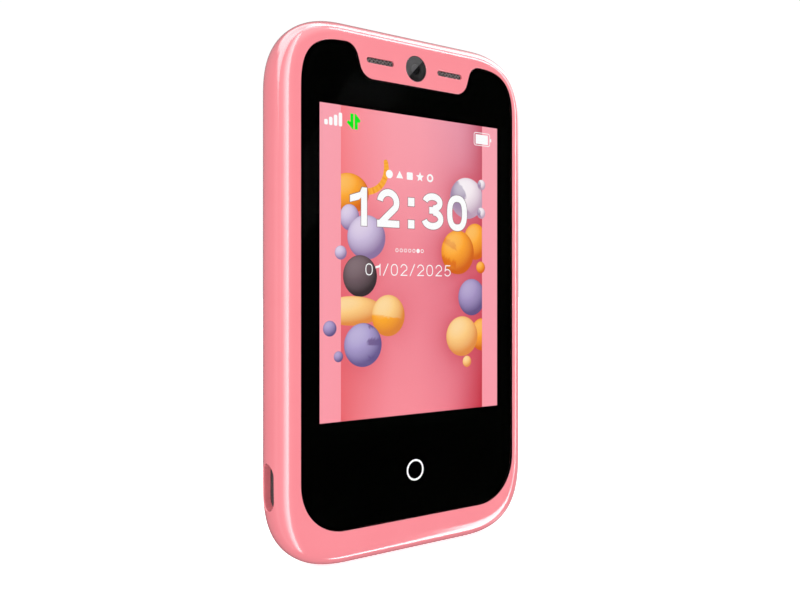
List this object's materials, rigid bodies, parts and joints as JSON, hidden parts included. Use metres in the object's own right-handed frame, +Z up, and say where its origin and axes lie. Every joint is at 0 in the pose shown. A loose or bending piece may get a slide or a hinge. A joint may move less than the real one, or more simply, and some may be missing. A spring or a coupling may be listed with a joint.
{
  "type": "toy cell phone",
  "caption": "Small upright touch-screen handset for children: rounded glossy shell, glass front with camera tab and touch key, side keys, card tray and charging socket.",
  "frame": {"origin": "centre of the shell's bounding box", "axes": "+Z up along the height, -Y out of the screen, +Y out of the back, +X to the right side seen from the screen"},
  "size_m": [0.0598, 0.0106, 0.1002],
  "materials": {
    "pink_shell": "glossy injection-moulded shell",
    "cover_glass": "polished toughened glass",
    "camera_glass": "polished dark glass",
    "black_print": "opaque black screen print",
    "adhesive": "soft adhesive foam",
    "display": "polished display sandwich",
    "light_guide": "white diffuser stack",
    "stamped_steel": "stamped and plated steel",
    "port_metal": "dark nickel plating",
    "screw_steel": "zinc-plated steel",
    "woven_mesh": "woven wire mesh",
    "circuit_board": "green solder mask",
    "flex_film": "amber polyimide film",
    "battery_foil": "laminated foil pouch",
    "lead_insulation": "cable sleeve and white plug",
    "black_plastic": "black moulded plastic",
    "gasket_rubber": "black silicone rubber",
    "camera_trim": "rose anodised aluminium",
    "antenna_brass": "plated antenna foil",
    "dense_metal": "sintered heavy metal",
    "card_plastic": "white card plastic"
  },
  "bodies": {
    "phone_body": {"front_housing": "pink_shell", "rear_cover": "pink_shell", "cover_glass": "cover_glass", "front_camera_window": "camera_glass", "rear_camera_window": "camera_glass", "glass_mask": "black_print", "glass_adhesive": "adhesive", "battery_tape": "adhesive", "lcd_panel": "display", "lcd_backlight": "light_guide", "lcd_frame": "stamped_steel", "shield_can_large": "stamped_steel", "shield_can_small": "stamped_steel", "sim_socket": "stamped_steel", "key_bracket": "stamped_steel", "volume_up_switch": "stamped_steel", "volume_down_switch": "stamped_steel", "power_switch": "stamped_steel", "vibration_motor": "stamped_steel", "earpiece_receiver": "stamped_steel", "port_shell": "port_metal", "cover_screw_1": "screw_steel", "cover_screw_2": "screw_steel", "cover_screw_3": "screw_steel", "cover_screw_4": "screw_steel", "board_screw_1": "screw_steel", "board_screw_2": "screw_steel", "earpiece_mesh_left": "woven_mesh", "earpiece_mesh_right": "woven_mesh", "loudspeaker_mesh": "woven_mesh", "main_board": "circuit_board", "sub_board": "circuit_board", "side_key_board": "circuit_board", "light_sensor": "circuit_board", "lcd_flex": "flex_film", "board_flex": "flex_film", "side_key_flex": "flex_film", "home_touch_pad": "flex_film", "battery_pack": "battery_foil", "battery_lead": "lead_insulation", "mid_frame": "black_plastic", "front_camera_module": "black_plastic", "rear_camera_module": "black_plastic", "loudspeaker": "black_plastic", "port_tongue": "black_plastic", "port_gasket": "gasket_rubber", "rear_camera_ring": "camera_trim", "main_antenna": "antenna_brass", "wifi_antenna": "antenna_brass", "microphone": "antenna_brass"},
    "volume_up_key": {"volume_up_key": "pink_shell"},
    "volume_down_key": {"volume_down_key": "pink_shell"},
    "power_key": {"power_key": "pink_shell"},
    "volume_up_plunger": {"volume_up_plunger": "black_plastic"},
    "volume_down_plunger": {"volume_down_plunger": "black_plastic"},
    "power_plunger": {"power_plunger": "black_plastic"},
    "sim_tray": {"sim_tray": "pink_shell", "sim_card": "card_plastic"},
    "vibration_rotor": {"vibration_shaft": "screw_steel", "vibration_weight": "dense_metal"}
  },
  "joints": [
    {"name": "volume_up_press", "type": "slide", "parent": "phone_body", "child": "volume_up_key", "axis": [-1, 0, 0], "range_m": [0, 0.0003]},
    {"name": "volume_up_plunge", "type": "slide", "parent": "phone_body", "child": "volume_up_plunger", "axis": [-1, 0, 0], "range_m": [0, 0.0003]},
    {"name": "volume_down_press", "type": "slide", "parent": "phone_body", "child": "volume_down_key", "axis": [-1, 0, 0], "range_m": [0, 0.0003]},
    {"name": "volume_down_plunge", "type": "slide", "parent": "phone_body", "child": "volume_down_plunger", "axis": [-1, 0, 0], "range_m": [0, 0.0003]},
    {"name": "power_press", "type": "slide", "parent": "phone_body", "child": "power_key", "axis": [-1, 0, 0], "range_m": [0, 0.0003]},
    {"name": "power_plunge", "type": "slide", "parent": "phone_body", "child": "power_plunger", "axis": [-1, 0, 0], "range_m": [0, 0.0003]},
    {"name": "sim_tray_slide", "type": "slide", "parent": "phone_body", "child": "sim_tray", "axis": [1, 0, 0], "range_m": [0, 0.018]},
    {"name": "vibration_spin", "type": "hinge", "parent": "phone_body", "child": "vibration_rotor", "pos_m": [-0.023, 0.0012, -0.0072], "axis": [0, 0, 1], "continuous": true}
  ],
  "couplings": [
    {"joint": "volume_up_plunge", "follows": "volume_up_press", "ratio": 1},
    {"joint": "volume_down_plunge", "follows": "volume_down_press", "ratio": 1},
    {"joint": "power_plunge", "follows": "power_press", "ratio": 1}
  ]
}
